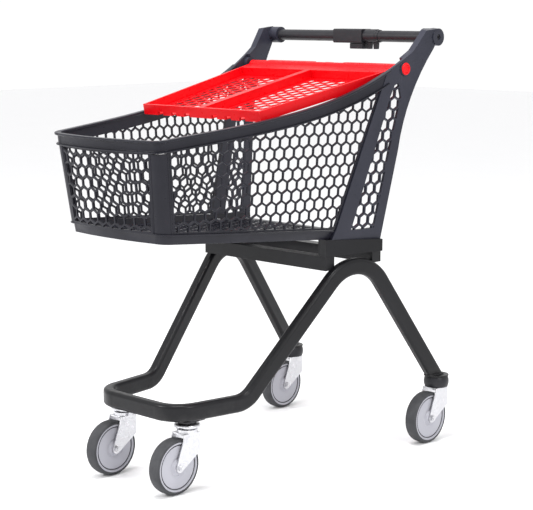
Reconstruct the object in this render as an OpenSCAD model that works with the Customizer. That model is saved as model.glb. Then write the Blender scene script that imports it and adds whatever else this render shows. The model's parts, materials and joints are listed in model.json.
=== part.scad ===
// Shopping cart: a moulded basket on a bent-tube chassis with four swivel casters,
// a flap that closes the rear of the basket, and a coin lock on the handle.
// X is the width, -Y the front, +Y the handle end, +Z up. The ground is z = 0.

/* [Casters] */
// Diameter of each wheel
wheel_d = 125; // [100:1:150]
// Width of the tyre
tyre_w = 32; // [26:1:40]
// Distance that a wheel trails behind its pivot
trail = 40; // [28:1:48]
// Radius of the kingpin that a caster turns on
kingpin_r = 6; // [5:0.5:8]
// Radius of the axle bolt
axle_r = 4; // [3:0.5:5]

/* [Chassis] */
// Distance from the front pivots to the rear pivots
wheelbase = 705; // [580:1:850]
// Distance between the two front pivots
front_track = 211; // [175:1:255]
// Distance between the two rear pivots
rear_track = 485; // [400:1:590]
// Distance between the two side frames at the front pivots
loop_w = 265; // [220:1:320]
// Outward lean of the two side frames, in degrees
frame_lean = 1.8; // [0:0.1:3]
// Depth of the chassis tube, in the plane that it is bent in
tube_h = 38; // [30:1:46]
// Thickness of the chassis tube, across that plane
tube_w = 25; // [20:1:32]
// Wall of the chassis tube
tube_wall = 2; // [1.5:0.1:3]
// Radius of the tube's rounded edges
tube_edge_r = 8; // [5:0.5:9.5]
// Angle of the rear legs from the ground
rear_leg_angle = 54.2; // [50:0.1:62]
// Height, above the loop, at which the leg centrelines would meet
apex_rise = 330; // [280:1:400]
// Centreline radius of the arch between the legs
arch_r = 97; // [75:1:110]
// Centreline radius of the bends at the loop
loop_bend_r = 60; // [45:1:75]
// Length of loop between the front pivots and the front legs
loop_run = 133; // [110:1:160]

/* [Basket] */
// Length of the basket's floor
floor_len = 627; // [520:1:755]
// Distance from the rear pivots forward to the floor's rear end
basket_set = 190; // [160:1:230]
// Outer width of the floor at its rear end
rear_w = 430; // [380:1:500]
// Outer width of the basket at the front of its rim
front_w = 340; // [300:1:400]
// Height of the rim above the floor at the front
front_depth = 218; // [180:1:270]
// Fall of the floor towards the rear, in degrees
floor_slope = 4.1; // [2:0.1:6]
// Outward lean of the side walls, in degrees
side_draft = 5.1; // [3:0.1:7]
// Forward lean of the front wall, in degrees
front_lean = 7; // [4:0.1:9]
// Distance that the middle of the front wall stands forward of its ends
front_bulge = 18; // [8:1:26]
// Radius of the upright front corners
corner_r = 28; // [20:1:36]
// Thickness of the basket's walls
wall_t = 4; // [3:0.5:5]
// Spacing of the mesh's cells
cell_pitch = 28; // [22:1:40]
// Width of the mesh's struts
strut_w = 4; // [3:0.5:6]
// Depth of the skirt below the ledge
skirt_h = 22; // [16:1:30]
// Depth of the rim's band
rim_h = 24; // [18:1:32]

/* [Handle] */
// Height of the handle above the floor's rear end
handle_rise = 464; // [420:1:520]
// Distance of the handle behind the floor's rear end
handle_back = 135; // [110:1:160]
// Diameter of the handle tube
handle_d = 27; // [24:1:32]
// Radius of the arm's end around the handle
boss_r = 20; // [18:1:26]

/* [Flap] */
// Height of the hinge above the floor's rear end
hinge_rise = 393; // [370:1:400]
// Distance of the hinge behind the floor's rear end
hinge_back = 35; // [20:1:45]
// Radius of the hinge pins
hinge_r = 6; // [4:0.5:8]
// Length of the flap from its hinge to its free edge
flap_len = 416; // [340:1:420]
// Depth of the flap's ribs
flap_depth = 24; // [18:1:28]
// Angle that the raised flap falls from its hinge to its free edge, in degrees
flap_fall = 11.7; // [5:0.1:16]

/* [Hidden] */
$fn = 48;

// Clearances
run_fit = 0.05;
gap = 0.3;
eps = 0.01;
over = 20;
facets_round = 96;

// Colours
plastic = [0.20, 0.21, 0.24];
arm_grey = [0.27, 0.26, 0.29];
paint = [0.13, 0.14, 0.16];
zinc = [0.80, 0.80, 0.82];
red = [0.85, 0.06, 0.07];
tyre_grey = [0.36, 0.37, 0.39];
disc_grey = [0.66, 0.66, 0.69];
black = [0.07, 0.07, 0.08];

// ---------- caster stack, from the wheel up ----------
wheel_r = wheel_d / 2;
crown_gap = 5;
crown_t = 3;
race_h = 7;
ball_r = 2.4;
ball_ring_r = 17;
ball_count = 12;
head_h = 10;
spacer_h = 6.5;
plate_t = 4;
plate_w = 60;
plate_l = 62;
crown_z = wheel_d + crown_gap;
race_z = crown_z + crown_t;
race_gap = 2 * ball_r - 2;
head_z = race_z + race_h + race_gap;
ball_z = race_z + race_h + race_gap / 2;
spacer_z = head_z + head_h;
plate_z = spacer_z + spacer_h;
mount_z = plate_z + plate_t;
leg_t = 3;
leg_gap = tyre_w / 2 + 2;
crown_front = 25;
crown_rear = 19;
leg_end_r = 11;
leg_knee = 41;
hub_play = 0.3;
bush_r = axle_r + 2;
hub_r = 15;
rim_r = wheel_r - 7;
tyre_shoulder_r = 6;
collar_r = 31;

// ---------- chassis ----------
loop_z = mount_z + tube_h / 2;
frame_yaw = atan((rear_track - loop_w) / 2 / wheelbase);
foot_set = 8;
foot_drop = tube_h;
loop_front_set = 52.5;
loop_joint_gap = 8;
bend_full = 0.1;
bend_lap = 1.5;
apex_y = -foot_set - (apex_rise + tube_h / 2) / tan(rear_leg_angle);
bend_y = loop_run - wheelbase;
leg_turn = atan(apex_rise / ((apex_y - bend_y) / cos(frame_yaw)));
side_path = [
    in_frame(-foot_set + foot_drop / tan(rear_leg_angle), mount_z - foot_drop),
    in_frame(apex_y, loop_z + apex_rise),
    in_frame(bend_y, loop_z),
    in_frame(bend_y - loop_bend_r * tan(leg_turn / 2) - loop_joint_gap, loop_z)];
joint_y = side_path[3][0] * cos(frame_yaw);
front_y = -wheelbase - loop_front_set;
loop_path = [
    [frame_x(joint_y), joint_y], [frame_x(front_y), front_y],
    [-frame_x(front_y), front_y], [-frame_x(joint_y), joint_y]];
arch_c = bend_centre(side_path, 1, arch_r);
arch_top = arch_c[1] + arch_r + tube_h / 2;
rail_gap = 10;
rail_h = 28;
rail_w = 28;
rail_len = 168;
rail_wall = 2.5;
bolt_r = 4;
beam_d = 30;
beam_wall = 2;

// ---------- basket ----------
base_y = -basket_set;
base_z = arch_top + rail_gap + rail_h;
half_rear = rear_w / 2;
rim_y = -floor_len - 28;
wall_flare = (half_rear + tan(side_draft) * (front_depth + floor_rise(floor_len)) - front_w / 2) / -rim_y;
side_yaw = atan(wall_flare);
skirt_t = 5;
ledge_t = 3;
ledge_out = 7;
floor_t = 8;
rim_front_z = floor_rise(floor_len) + front_depth;
rim_run = handle_back - rim_y - 74;
rim_rise_even = 70;
rim_rise_curl = handle_rise - rim_front_z - rim_rise_even - 28;
rim_steps = 16;
lip_h = 5;
lip_in = 5;
lip_out = 8;
flange_h = 3;
flange_out = 7;
front_wall_z = floor_rise(floor_len) + skirt_h;
front_wall_h = (rim_front_z - rim_h - front_wall_z) / cos(front_lean);
front_top_y = -floor_len - tan(front_lean) * (rim_front_z - rim_h - front_wall_z);
post_bottom = [wall_x(corner_r - floor_len, front_wall_z) - corner_r, corner_r - floor_len, front_wall_z];
post_top = [wall_x(corner_r + front_top_y, rim_front_z - rim_h) - corner_r, corner_r + front_top_y,
    rim_front_z - rim_h];
front_facets = 5;
upright_lean = 0.346;
upright_foot = -140 - 38 * upright_lean;
upright_w = 48;
rear_strip_w = 28;
arm_proud = 3;
arm_t = 14;
rim_start = post_top[1];
rim_end = upright_y(handle_rise - 78);
rim_ys = [for (i = [0:rim_steps]) rim_start + (rim_end - rim_start) * i / rim_steps];

// ---------- arms ----------
arm_knee = [34, 206];
arm_rear_bend = [44, 332];
arm_neck = [handle_back - 12, handle_rise - 25];
arm_crest = [handle_back - 40, handle_rise + 16];

// ---------- handle and lock ----------
handle_r = handle_d / 2;
handle_x = wall_x(handle_back, handle_rise);
boss_in = 40;
boss_out = 4;
handle_wall = 2;
plug_len = 26;
screw_r = 4;
screw_head_r = 6.2;
screw_recess = 7;
clamp_x = [-37, 54];
clamp_d = 38;
clamp_h = 34;
collar_len = 45;
key_low = -31;
lock_x = [14, 54];
lock_d = 30;
lock_h = 14;
drawer_w = 30;
drawer_h = 6;
drawer_len = 22;
lock_top = handle_rise - clamp_h / 2;
slot_x = (lock_x[0] + lock_x[1]) / 2;
slot_z = lock_top - lock_h / 2;
handle_half = handle_x - boss_in;

// ---------- flap ----------
hinge_x = wall_x(hinge_back, hinge_rise);
pin_reach = 30;
cap_r = 14;
cap_t = 3;
hinge_pad_r = 16.5;
hinge_pad_out = 5;
flap_gap = 5;
flap_side_x = hinge_x - arm_t - flap_gap;
flap_taper = 0.112;
flap_skin = 3;
flap_rib = 5;
flap_mid_rib = 18;
flap_top_band = 52;
flap_end_band = 26;
flap_low = -21;
flap_hub_r = 9.5;
lobe_len = 33;
lobe_foot = 12;

// ---------- whole object ----------
front_reach = base_y + front_top_y - front_bulge - lip_out - 2;
rear_reach = collar_r;
mid_y = -(front_reach + rear_reach) / 2;

// A point of the side frame: distance along the frame's upright plane, and height
function in_frame(y, z) = [y / cos(frame_yaw), z];
// Distance of the frame's plane from the middle of the cart, at y
function frame_x(y) = rear_track / 2 + y * tan(frame_yaw);
// Rise of the floor at a distance forward of its rear end
function floor_rise(d) = d * tan(floor_slope);
// Outer face of the side wall at y behind and z above the floor's rear end
function wall_x(y, z) = half_rear + y * wall_flare + z * tan(side_draft);
// Top of the rim: an even rise, with a curl up to the handle
function rim_z(y) = let(t = (y - rim_y) / rim_run)
    rim_front_z + rim_rise_even * t + rim_rise_curl * pow(t, 4);
// A point of a side elevation, laid on the leaning side wall
function on_plane(p) = let(v = p[1] / cos(side_draft))
    [(p[0] + v * sin(side_draft) * sin(side_yaw)) / cos(side_yaw), v];
// Plan curve of the front wall
function front_curve(x) = -front_bulge * (1 - pow(x / post_top[0], 2));
// Points of a three-point Bezier curve
function curve(a, b, c, n) = [for (i = [0:n]) let(t = i / n)
    a * pow(1 - t, 2) + b * 2 * t * (1 - t) + c * t * t];
function heading(a, b) = atan2(b[1] - a[1], b[0] - a[0]);
function unit(a, b) = (b - a) / norm(b - a);
function bend_turn(p, i) = let(t = heading(p[i], p[i + 1]) - heading(p[i - 1], p[i]))
    t > 180 ? t - 360 : t < -180 ? t + 360 : t;
function bend_start(p, i, r) = p[i] - unit(p[i - 1], p[i]) * r * tan(abs(bend_turn(p, i)) / 2);
function bend_end(p, i, r) = p[i] + unit(p[i], p[i + 1]) * r * tan(abs(bend_turn(p, i)) / 2);
function bend_centre(p, i, r) = let(h = heading(p[i - 1], p[i]) + 90 * sign(bend_turn(p, i)))
    bend_start(p, i, r) + r * [cos(h), sin(h)];

// ---------- shared shapes ----------
module place() {
    translate([0, mid_y, 0]) children();
}

module on_side(side) {
    if (side > 0) children();
    else mirror([1, 0, 0]) children();
}

// The frame's upright plane: X along it to the rear, Y up, Z outwards
module frame_plane(side, lean = 0) {
    on_side(side) translate([rear_track / 2, 0, loop_z]) rotate([90, 0, 90 - frame_yaw])
        rotate([lean, 0, 0]) translate([0, -loop_z, 0]) children();
}

// Axes at the rear end of the basket's floor
module basket_axes() {
    translate([0, base_y, base_z]) children();
}

// The outer face of a side wall: X along it to the rear, Y up the wall, Z outwards
module wall_plane(side) {
    basket_axes() on_side(side) translate([half_rear, 0, 0])
        rotate([90 + side_draft, 0, 90 - side_yaw]) children();
}

// A slab that follows a side elevation, from one depth to another off the wall's outer face
module wall_slab(side, points, from, to) {
    wall_plane(side) translate([0, 0, from]) linear_extrude(to - from)
        polygon([for (p = points) on_plane(p)]);
}

// A rod along X through a point of the side elevation
module cross_rod(y, z, r, x0, x1) {
    basket_axes() translate([x0, y, z]) rotate([0, 90, 0]) cylinder(r = r, h = x1 - x0);
}

module rounded_rect(a, b, r) {
    square([a - 2 * r, b], center = true);
    square([a, b - 2 * r], center = true);
    for (x = [-1, 1], y = [-1, 1]) translate([x * (a / 2 - r), y * (b / 2 - r)]) circle(r);
}

// Cross-section of the chassis tube: inset 0 is its outside, tube_wall its inside
module tube_section(a, b, inset) {
    rounded_rect(a - 2 * inset, b - 2 * inset, tube_edge_r - inset);
}

// A tube bent in the XY plane along a list of corners; deep is its size in that plane.
// Each bend is a hair fuller than the straight runs, which reach a little way into it.
module bent_tube(p, r, deep, thick, inset, extra) {
    n = len(p);
    for (i = [0:n - 2]) {
        along = unit(p[i], p[i + 1]);
        a = i == 0 ? p[0] - along * extra : bend_end(p, i, r[i]) - along * bend_lap;
        b = i == n - 2 ? p[n - 1] + along * extra : bend_start(p, i + 1, r[i + 1]) + along * bend_lap;
        translate(a) rotate([0, 90, heading(a, b)])
            linear_extrude(norm(b - a)) tube_section(thick, deep, inset);
    }
    for (i = [1:n - 2]) {
        turn = bend_turn(p, i);
        first = turn > 0 ? heading(p[i - 1], p[i]) - 90 : heading(p[i], p[i + 1]) + 90;
        translate(bend_centre(p, i, r[i])) rotate(first) rotate_extrude(angle = abs(turn), $fn = facets_round)
            translate([r[i], 0]) tube_section(deep, thick, inset - bend_full);
    }
}

// Hexagonal cells that stand on a point, covering a rectangle
module cells(x0, x1, y0, y1) {
    row = cell_pitch * sqrt(3) / 2;
    for (j = [floor(y0 / row):ceil(y1 / row)], i = [floor(x0 / cell_pitch) - 1:ceil(x1 / cell_pitch)])
        translate([(i + (j % 2 == 0 ? 0 : 0.5)) * cell_pitch, j * row]) rotate(30)
            circle(r = (cell_pitch - strut_w) / sqrt(3), $fn = 6);
}

// ---------- chassis ----------
module side_tube(side, inset, extra) {
    frame_plane(side, frame_lean) bent_tube(side_path, [0, arch_r, loop_bend_r, 0], tube_h, tube_w, inset, extra);
}

module chassis_side(side) {
    color(paint) difference() {
        side_tube(side, 0, 0);
        side_tube(side, tube_wall, eps);
        translate([0, 0, mount_z - foot_drop * 2]) linear_extrude(foot_drop * 2)
            square([rear_track * 2, foot_drop * 6], center = true);
    }
}

module chassis_front_loop() {
    color(paint) translate([0, 0, loop_z]) difference() {
        bent_tube(loop_path, [0, loop_bend_r, loop_bend_r, 0], tube_w, tube_h, 0, 0);
        bent_tube(loop_path, [0, loop_bend_r, loop_bend_r, 0], tube_w, tube_h, tube_wall, eps);
    }
}

module chassis_beam(y, z) {
    half = frame_x(y + beam_d / 2) + (z - loop_z) * tan(frame_lean);
    color(paint) difference() {
        translate([-half, y, z]) cube([2 * half, beam_d, arch_top + rail_gap - z]);
        translate([-half - 1, y + beam_wall, z + beam_wall])
            cube([2 * half + 2, beam_d - 2 * beam_wall, arch_top + rail_gap - z - 2 * beam_wall]);
        for (side = [-1, 1]) side_tube(side, 0, 0);
    }
}

module basket_rail(side) {
    z0 = arch_top + rail_gap;
    y0 = base_y - rail_len;
    y1 = base_y;
    top = floor_rise(rail_len);
    color(paint) difference() {
        frame_plane(side) translate([0, 0, -rail_w / 2]) linear_extrude(rail_w)
            polygon([in_frame(y0, z0), in_frame(y1, z0), in_frame(y1, base_z), in_frame(y0, base_z + top)]);
        frame_plane(side) translate([0, 0, -rail_w / 2 + rail_wall]) linear_extrude(rail_w - 2 * rail_wall)
            polygon([in_frame(y0 - 1, z0 + rail_wall), in_frame(y1 + 1, z0 + rail_wall),
                in_frame(y1 + 1, base_z - rail_wall), in_frame(y0 - 1, base_z + top - rail_wall)]);
        bolt_places(side) cylinder(r = bolt_r + 0.2, h = 3 * rail_h, center = true);
    }
}

// ---------- feet, plates and the fixed parts of the casters ----------
module each_caster(rows) {
    for (row = rows, side = [-1, 1]) caster_axes(row, side) children();
}

// Axes on the ground below a pivot; row 0 is the front pair, row 1 the rear pair
module caster_axes(row, side) {
    x = row == 0 ? front_track / 2 : rear_track / 2;
    translate([side * x, row == 0 ? -wheelbase : 0, 0]) children();
}

module rear_feet() {
    color(paint) each_caster([1]) difference() {
        translate([0, 0, plate_z]) cylinder(r = collar_r - 1, h = plate_t);
        translate([0, 0, plate_z - 1]) cylinder(r = kingpin_r, h = plate_t + 2);
    }
}

module front_plates() {
    color(black) each_caster([0]) difference() {
        union() {
            translate([0, 0, plate_z]) linear_extrude(plate_t) rounded_rect(plate_w, plate_l, 8);
            translate([0, 0, spacer_z]) cylinder(r = 21, h = spacer_h);
        }
        translate([0, 0, spacer_z - 1]) cylinder(r = kingpin_r, h = spacer_h + plate_t + 2);
    }
}

module swivel_races() {
    color(zinc) each_caster([0, 1]) difference() {
        translate([0, 0, head_z]) rotate_extrude() difference() {
            union() {
                square([24, head_h]);
                translate([24, head_h / 2]) circle(r = head_h / 2);
            }
            square([kingpin_r, head_h * 3], center = false);
            translate([ball_ring_r, -race_gap / 2]) circle(r = ball_r + run_fit);
        }
    }
}

module kingpins() {
    color(zinc) each_caster([0, 1]) {
        translate([0, 0, crown_z - gap - 6]) cylinder(r = kingpin_r + 4.5, h = 6, $fn = 6);
        translate([0, 0, crown_z - gap]) cylinder(r = kingpin_r, h = mount_z - crown_z + gap - 0.5);
    }
}

module rear_collars() {
    inner = 29.5;
    color(black) each_caster([1]) translate([0, 0, race_z + gap]) rotate_extrude() {
        difference() {
            union() {
                translate([inner, 0]) square([collar_r - inner - 0.5, plate_z - race_z - gap]);
                translate([collar_r - 6, (plate_z - race_z) / 2]) intersection() {
                    circle(r = 6);
                    translate([inner - collar_r + 6, -6]) square([12, 12]);
                }
            }
        }
        translate([head_h / 2 + 16, head_z + head_h - race_z - gap])
            square([inner - head_h / 2 - 15, plate_z - head_z - head_h]);
    }
}

// ---------- turning parts of the casters ----------
module fork(row, side) {
    color(zinc) caster_axes(row, side) difference() {
        union() {
            translate([-leg_gap - leg_t, -crown_front, crown_z])
                cube([2 * (leg_gap + leg_t), crown_front + crown_rear, crown_t]);
            translate([0, 0, race_z - eps]) cylinder(r = 23, h = race_h);
            for (x = [-leg_gap - leg_t, leg_gap]) translate([x, 0, 0])
                rotate([90, 0, 90]) linear_extrude(leg_t) fork_leg();
        }
        translate([0, 0, crown_z - 1]) cylinder(r = kingpin_r + run_fit, h = crown_t + race_h + 2);
        translate([0, 0, ball_z]) rotate_extrude() translate([ball_ring_r, 0]) circle(r = ball_r + run_fit);
        translate([-leg_gap - leg_t - 1, -trail, wheel_r]) rotate([0, 90, 0])
            cylinder(r = axle_r + run_fit, h = 2 * (leg_gap + leg_t + 1));
    }
}

module fork_leg() {
    polygon([
        [-crown_front, race_z - eps], [crown_rear, race_z - eps], [crown_rear, crown_z - leg_knee],
        [-trail + leg_end_r * cos(-50), wheel_r + leg_end_r * sin(-50)], [-trail, wheel_r],
        [-trail + leg_end_r * cos(165), wheel_r + leg_end_r * sin(165)]]);
    translate([-trail, wheel_r]) circle(leg_end_r);
}

module balls(row, side) {
    color(zinc) caster_axes(row, side) for (a = [0:360 / ball_count:359])
        rotate(a) translate([ball_ring_r, 0, ball_z]) sphere(r = ball_r);
}

module axle_axes(row, side) {
    caster_axes(row, side) translate([0, -trail, wheel_r]) rotate([0, 90, 0]) children();
}

module axle_bolt(row, side) {
    reach = leg_gap + leg_t;
    color(zinc) axle_axes(row, side) {
        translate([0, 0, -reach - 5]) cylinder(r = axle_r, h = 2 * reach + 12);
        translate([0, 0, reach]) cylinder(r = axle_r + 3.5, h = 5, $fn = 6);
        translate([0, 0, -reach - 5]) cylinder(r = axle_r + 3.5, h = 5, $fn = 6);
    }
}

module axle_bush(row, side) {
    color(zinc) axle_axes(row, side) difference() {
        cylinder(r = bush_r, h = 2 * leg_gap, center = true);
        cylinder(r = axle_r, h = 3 * leg_gap, center = true);
    }
}

module wheel(row, side) {
    half = tyre_w / 2 - 1;
    color(disc_grey) axle_axes(row, side) rotate_extrude($fn = facets_round) difference() {
        union() {
            translate([0, -half + 3]) square([rim_r, 2 * half - 6]);
            translate([rim_r - 4.5, -half]) square([4.5, 2 * half]);
            translate([0, -leg_gap + hub_play]) square([hub_r, 2 * (leg_gap - hub_play)]);
            translate([0, -half + 1.5]) square([rim_r - 7, 2 * half - 3]);
        }
        translate([0, -leg_gap]) square([bush_r + run_fit, 2 * leg_gap]);
    }
}

module tyre(row, side) {
    flat = tyre_w - 2 * tyre_shoulder_r;
    color(tyre_grey) axle_axes(row, side) rotate_extrude($fn = facets_round) difference() {
        union() {
            translate([rim_r - 2, -flat / 2]) square([wheel_r - rim_r + 2, flat]);
            for (z = [-1, 1]) translate([wheel_r - tyre_shoulder_r, z * flat / 2]) circle(tyre_shoulder_r);
        }
        translate([0, -tyre_w]) square([rim_r, 2 * tyre_w]);
    }
}

// ---------- basket ----------
// Plan of the floor in its own sloping plane, with an inset; negative stands outside the walls
module floor_plan(inset) {
    flare = wall_flare - tan(side_draft) * tan(floor_slope);
    lean = atan(flare);
    r = corner_r - inset;
    yc = corner_r - floor_len;
    xc = half_rear + yc * flare - corner_r / cos(lean);
    side_pt = [xc + r * cos(lean), yc - r * sin(lean)];
    n = front_facets;
    polygon(concat(
        [for (i = [0:n]) let(x = xc * (2 * i / n - 1)) [x, yc - r + front_curve(x) - front_curve(xc)]],
        [side_pt, [half_rear - inset / cos(lean), 0], [-half_rear + inset / cos(lean), 0],
            [-side_pt[0], side_pt[1]]]));
    for (x = [-xc, xc]) translate([x, yc]) circle(r);
}

module floor_axes() {
    basket_axes() rotate([-floor_slope, 0, 0]) children();
}

module bolt_places(side) {
    for (y = [-25, 28 - rail_len]) basket_axes() rotate([-floor_slope, 0, 0])
        translate([side * (half_rear + y * wall_flare - 16), y, 0]) children();
}

module basket_floor() {
    margin = 26;
    color(plastic) floor_axes() difference() {
        linear_extrude(floor_t) difference() {
            floor_plan(skirt_t);
            intersection() {
                floor_window(margin);
                cells(-half_rear, half_rear, -floor_len, 0);
            }
        }
        for (side = [-1, 1], y = [-25, 28 - rail_len])
            translate([side * (half_rear + y * wall_flare - 16), y, -1]) cylinder(r = bolt_r + 0.2, h = floor_t + 2);
    }
}

module floor_window(margin) {
    narrow = half_rear - (floor_len - margin) * wall_flare - margin;
    polygon([[-narrow, margin - floor_len], [narrow, margin - floor_len],
        [half_rear - margin - 4, -margin], [-half_rear + margin + 4, -margin]]);
}

module basket_skirt() {
    color(plastic) difference() {
        floor_axes() {
            linear_extrude(skirt_h) difference() {
                floor_plan(0);
                floor_plan(skirt_t);
                translate([-half_rear, -1]) square([2 * half_rear, 2]);
            }
            translate([0, 0, skirt_h - ledge_t]) linear_extrude(ledge_t) difference() {
                floor_plan(-ledge_out);
                floor_plan(eps);
                translate([-rear_w, upright_foot]) square([2 * rear_w, floor_len]);
            }
        }
        for (side = [-1, 1]) wall_slab(side, arm_seat(), -wall_t, over);
    }
}

// Outline, in side elevation, of what the skirt leaves free for the arm's foot
function arm_seat() = let(low = [upright_foot, floor_rise(-upright_foot)],
        high = [upright_y(ledge_z(upright_foot)), ledge_z(upright_foot)], run = high - low)
    [low - run, high + run, [over, high[1] + over], [over, -over]];

// Axes of the leaning front wall: origin at its foot, Z up the wall
module front_axes() {
    basket_axes() translate([0, -floor_len, front_wall_z]) rotate([front_lean, 0, 0]) children();
}

// A strip that follows the front wall's plan curve, from one depth to another
module front_strip(from, to) {
    n = front_facets;
    xs = [for (i = [0:n]) post_top[0] * (2 * i / n - 1)];
    polygon(concat([for (x = xs) [x, front_curve(x) + from]],
        [for (i = [n:-1:0]) [xs[i], front_curve(xs[i]) + to]]));
}

module basket_front() {
    wide = post_top[0];
    narrow = post_bottom[0];
    frame = 5;
    color(plastic) front_axes() difference() {
        linear_extrude(front_wall_h) front_strip(0, wall_t);
        rotate([90, 0, 0]) linear_extrude(4 * front_bulge, center = true) {
            intersection() {
                polygon([[-narrow + frame, frame], [narrow - frame, frame],
                    [wide - frame, front_wall_h - frame], [-wide + frame, front_wall_h - frame]]);
                cells(-wide, wide, 0, front_wall_h);
            }
            for (side = [-1, 1])
                polygon([[side * narrow, 0], [side * wide, front_wall_h], [side * (wide + over), front_wall_h],
                    [side * (wide + over), -1], [side * narrow, -1]]);
        }
    }
}

// A quarter ring in plan around an upright corner, from one radius to another
module corner_ring(r0, r1) {
    difference() {
        intersection() {
            circle(r1);
            polygon([[0, 0], [0, -2 * r1], [2 * r1, -2 * r1], [2 * r1 * cos(side_yaw), -2 * r1 * sin(side_yaw)]]);
        }
        circle(r0);
    }
}

module basket_posts() {
    run = post_top - post_bottom;
    color(plastic) for (side = [-1, 1]) basket_axes() on_side(side)
        translate(post_bottom)
            rotate([atan2(-run[1], run[2]), atan2(run[0], norm([run[1], run[2]])), 0])
                linear_extrude(norm(run)) corner_ring(corner_r - wall_t, corner_r);
}

// Height of the ledge at y, and the line where the corner post ends
function ledge_z(y) = floor_rise(-y) + skirt_h;
function post_edge_y(z) = post_bottom[1] + (z - post_bottom[2]) * (post_top[1] - post_bottom[1])
    / (post_top[2] - post_bottom[2]);
function upright_y(z) = upright_foot + z * upright_lean;
// Front edge of the arm, from the ledge to the rim
function arm_front_y(z) = let(foot = ledge_z(upright_foot), y = upright_y(foot))
    y + (z - foot) * (rim_end - y) / (rim_z(rim_end) - foot);
// Depth of the rim's band, which grows towards the handle
function rim_band(y) = rim_h + 8 * pow((y - rim_y) / rim_run, 2);

module basket_side(side) {
    frame = 5;
    color(plastic) difference() {
        wall_slab(side, side_outline(0), -wall_t, 0);
        wall_plane(side) translate([0, 0, -wall_t - 1]) linear_extrude(wall_t + 2) intersection() {
            polygon([for (p = side_outline(frame)) on_plane(p)]);
            cells(-floor_len, 0, 0, handle_rise);
        }
    }
}

// Outline of the side mesh, in side elevation, with an inset
function side_outline(inset) = let(
        foot = [post_edge_y(ledge_z(-floor_len)) + inset, 0],
        ys = [for (y = rim_ys) if (y - inset > rim_start && y < arm_front_y(rim_z(y) - rim_band(y)) - inset) y],
        top = rim_z(rim_end) - rim_band(rim_end))
    concat(
        [[foot[0], ledge_z(foot[0]) + inset],
            [upright_y(ledge_z(upright_foot)) - inset, ledge_z(upright_foot) + inset],
            [arm_front_y(top) - inset, top - inset]],
        [for (i = [len(ys) - 1:-1:0]) [ys[i], rim_z(ys[i]) - rim_band(ys[i]) - inset]],
        [[rim_start + inset, rim_z(rim_start) - rim_band(rim_start) - inset]]);

// A band along the rim to the arm's front edge, between two depths below its top
function rim_strip(y0, y1, above, below) = let(
        ys = [for (i = [0:rim_steps - 1]) y0 + (y1 - y0) * i / rim_steps],
        ends = [for (depth = [above, below]) rim_z(y1) - depth * rim_band(y1)])
    concat([for (y = ys) [y, rim_z(y) - above * rim_band(y)]],
        [for (z = ends) [arm_front_y(z), z]],
        [for (i = [rim_steps - 1:-1:0]) [ys[i], rim_z(ys[i]) - below * rim_band(ys[i])]]);

module rim_side(side) {
    color(plastic) {
        wall_slab(side, rim_strip(rim_start, rim_end, 0, 1), -wall_t, 2);
        wall_slab(side, rim_strip(rim_start, rim_end, 0, lip_h / rim_h), -wall_t - 2, lip_out);
        wall_slab(side, rim_strip(rim_start, rim_end, 1 - flange_h / rim_h, 1), 0, flange_out);
    }
}

module rim_front() {
    color(plastic) basket_axes() {
        rim_front_layer(rim_front_z - rim_h, rim_h, -2, wall_t);
        rim_front_layer(rim_front_z - lip_h, lip_h, -lip_out, lip_in);
        rim_front_layer(rim_front_z - rim_h, flange_h, -flange_out, 0);
    }
}

module rim_front_layer(z, h, from, to) {
    translate([0, front_top_y, z]) linear_extrude(h) {
        front_strip(from, to);
        for (side = [-1, 1]) mirror([side > 0 ? 0 : 1, 0]) translate([post_top[0], corner_r])
            corner_ring(corner_r - to, corner_r - from);
    }
}

// ---------- arms ----------
function rear_edge_y(z) = arm_knee[0] * z / arm_knee[1];

function arm_outline() = concat(
    [[0, 0]], curve(arm_knee, arm_rear_bend, arm_neck, 8),
    [[handle_back, handle_rise], [handle_back - 2, handle_rise + boss_r], arm_crest],
    [for (i = [0:5]) let(y = handle_back - 78 + (rim_end - handle_back + 78) * i / 5) [y, rim_z(y)]],
    [[upright_y(ledge_z(upright_foot)), ledge_z(upright_foot)], [upright_foot, floor_rise(-upright_foot)]]);

// Window for the mesh between the upright and the rear strip
function arm_window() = [
    [upright_y(28) + upright_w, 28], [rear_edge_y(28) - rear_strip_w, 28], [arm_knee[0] - rear_strip_w, arm_knee[1]],
    [arm_knee[0] - 4, 330], [18, 362], [6, 356], [upright_y(330) + upright_w - 14, 330]];

module arm(side) {
    color(arm_grey) difference() {
        union() {
            wall_slab(side, arm_outline(), -wall_t, arm_proud);
            arm_head(side);
            on_side(side) {
                cross_rod(handle_back, handle_rise, boss_r, handle_x - boss_in, handle_x + boss_out);
                cross_rod(hinge_back, hinge_rise, hinge_pad_r, hinge_x - arm_t, hinge_x + hinge_pad_out);
            }
        }
        wall_plane(side) translate([0, 0, -wall_t - 1]) linear_extrude(wall_t + arm_proud + 2) intersection() {
            polygon([for (p = arm_window()) on_plane(p)]);
            cells(-floor_len, handle_back, 0, handle_rise);
        }
        on_side(side) {
            cross_rod(handle_back, handle_rise, screw_r, 0, handle_x + over);
            cross_rod(handle_back, handle_rise, screw_head_r + 0.3, handle_x + boss_out - screw_recess,
                handle_x + over);
            cross_rod(hinge_back, hinge_rise, hinge_r, 0, hinge_x + over);
            cross_rod(hinge_back, hinge_rise, cap_r + 0.4, hinge_x + hinge_pad_out - cap_t + 1, hinge_x + over);
        }
    }
}

// The thick upper end of the arm, behind its face
module arm_head(side) {
    low = 352;
    outline = concat(
        [[rear_edge_y(low) + 4, low]], [for (p = curve(arm_knee, arm_rear_bend, arm_neck, 8)) if (p[1] > low + 8) p],
        [[handle_back, handle_rise], [handle_back - 2, handle_rise + boss_r], arm_crest],
        [for (i = [0:3]) let(y = handle_back - 78 + (30 - handle_back + 78) * i / 3) [y, rim_z(y)]]);
    wall_slab(side, outline, -arm_t, -wall_t);
}

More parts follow.
